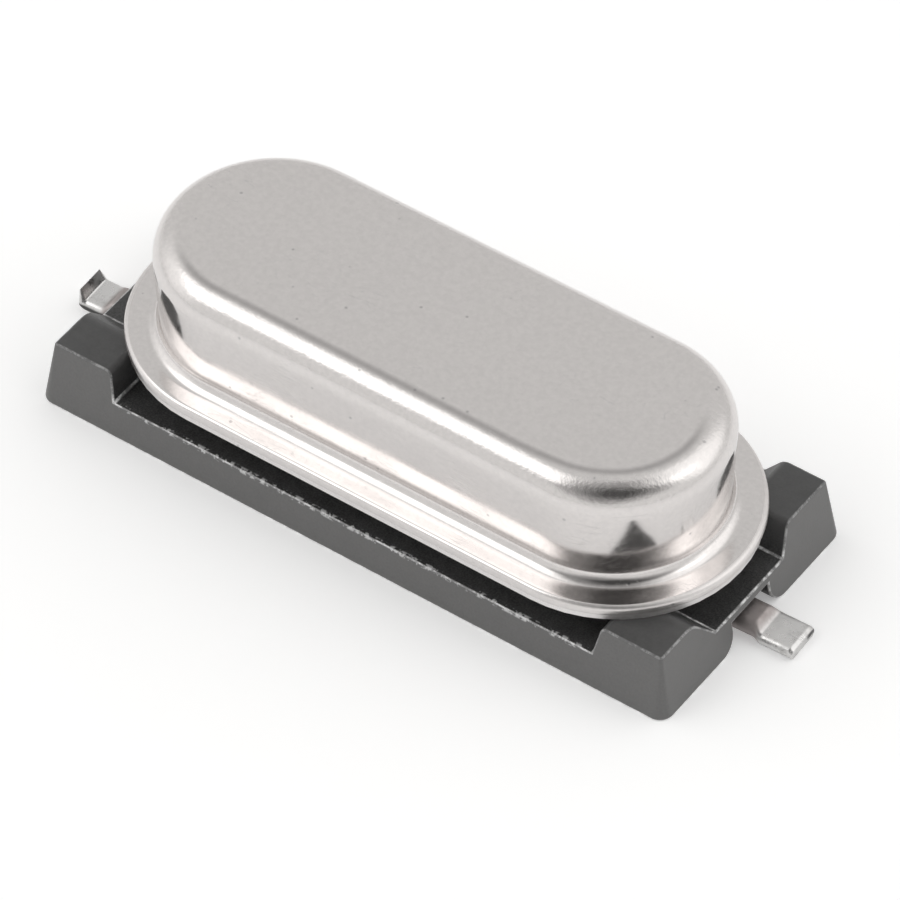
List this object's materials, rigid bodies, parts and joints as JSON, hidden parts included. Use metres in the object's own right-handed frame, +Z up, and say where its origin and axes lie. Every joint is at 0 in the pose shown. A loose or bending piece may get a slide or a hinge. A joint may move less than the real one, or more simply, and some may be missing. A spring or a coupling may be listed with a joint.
{
  "type": "crystal oscillator",
  "caption": "Quartz crystal unit sealed in a low oblong metal can, seated on a moulded insulator with flattened feet at both ends for soldering to the face of a circuit board.",
  "frame": {"origin": "middle of the footprint, on the board's surface", "axes": "+X along the can towards the right foot, +Y across it to the back, +Z up off the board"},
  "size_m": [0.0129, 0.0046, 0.0033],
  "materials": {
    "can_metal": "satin nickel-plated drawn steel, finely mottled",
    "header_metal": "satin nickel-plated stamped steel",
    "moulding": "matt dark grey heat-resistant moulding with a fine grain",
    "tinned_lead": "bright tin-plated alloy wire with press marks",
    "seal_glass": "dark green sealing glass",
    "clip_metal": "thin bright spring strip",
    "quartz": "clear lapped quartz",
    "silver_film": "smooth deposited silver",
    "conductive_adhesive": "matt silver-filled adhesive"
  },
  "bodies": {
    "root": {"can": "can_metal", "header": "header_metal", "insulator": "moulding", "lead_left": "tinned_lead", "lead_right": "tinned_lead", "glass_seal_left": "seal_glass", "glass_seal_right": "seal_glass", "spring_clip_left": "clip_metal", "spring_clip_right": "clip_metal", "quartz_blank": "quartz", "electrode_front": "silver_film", "electrode_back": "silver_film", "adhesive_left": "conductive_adhesive", "adhesive_right": "conductive_adhesive"}
  },
  "joints": []
}
